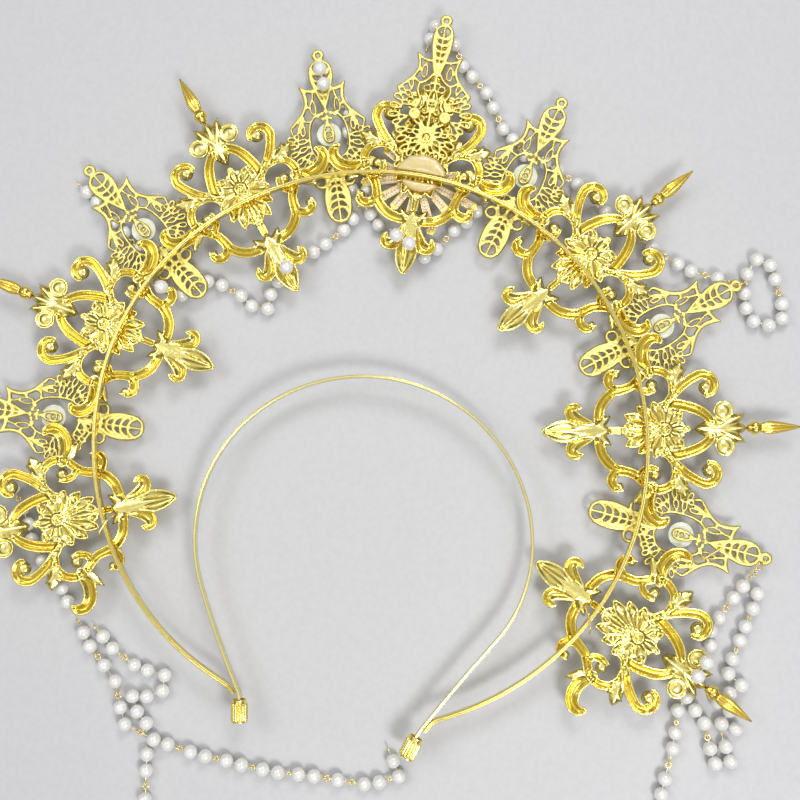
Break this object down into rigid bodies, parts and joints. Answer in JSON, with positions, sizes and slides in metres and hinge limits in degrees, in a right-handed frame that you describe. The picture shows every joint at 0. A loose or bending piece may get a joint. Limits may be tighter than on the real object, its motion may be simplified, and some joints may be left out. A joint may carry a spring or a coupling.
{
  "type": "halo crown",
  "caption": "Gilt halo crown seen from its back: a headband and a hoop with scroll crosses, dart spikes, pierced filigree plates, half pearls and loose strings of pearls.",
  "frame": {"origin": "middle of the headband's round opening, half way through the strips", "axes": "+Z towards the crown's back, which faces up as it lies; +Y towards the top ornament; +X to the right seen from the back"},
  "size_m": [0.3511, 0.3633, 0.0159],
  "materials": {
    "gold": "bright gilt casting",
    "pale_gold": "pale satin gilt",
    "deep_gold": "deep polished gilt",
    "pearl": "imitation pearl, satin lustre",
    "glue": "clear glue",
    "stone": "small clear stones"
  },
  "bodies": {
    "root": {"headband": "pale_gold", "halo_hoop": "gold", "ferrule_left": "gold", "ferrule_right": "gold", "scroll_cross_1": "gold", "scroll_cross_2": "gold", "scroll_cross_3": "gold", "scroll_cross_4": "gold", "scroll_cross_5": "gold", "scroll_cross_6": "gold", "scroll_cross_7": "gold", "spike_1": "deep_gold", "spike_2": "deep_gold", "spike_3": "deep_gold", "spike_4": "deep_gold", "spike_5": "deep_gold", "spike_6": "deep_gold", "spike_7": "deep_gold", "filigree_1": "pale_gold", "filigree_2": "pale_gold", "filigree_3": "pale_gold", "filigree_4": "pale_gold", "filigree_5": "pale_gold", "filigree_6": "pale_gold", "filigree_7": "pale_gold", "half_pearl_1": "pearl", "half_pearl_2": "pearl", "half_pearl_3": "pearl", "half_pearl_4": "pearl", "half_pearl_5": "pearl", "half_pearl_6": "pearl", "sunburst": "gold", "sunburst_stones": "stone", "glue_pad": "glue", "tie_wires": "pale_gold", "jump_rings": "pale_gold", "string_top_right_pearls": "pearl", "string_top_right_pins": "pale_gold", "string_oval_pearls": "pearl", "string_oval_pins": "pale_gold", "string_upper_left_pearls": "pearl", "string_upper_left_pins": "pale_gold", "string_left_pearls": "pearl", "string_left_pins": "pale_gold", "string_inner_pearls": "pearl", "string_inner_pins": "pale_gold", "string_inner_right_pearls": "pearl", "string_inner_right_pins": "pale_gold", "string_right_pearls": "pearl", "string_right_pins": "pale_gold", "string_right_low_pearls": "pearl", "string_right_low_pins": "pale_gold", "string_lower_pearls": "pearl", "string_lower_pins": "pale_gold", "string_lower_left_pearls": "pearl", "string_lower_left_pins": "pale_gold", "string_right_outer": "pearl", "string_left_behind": "pearl"}
  },
  "joints": []
}
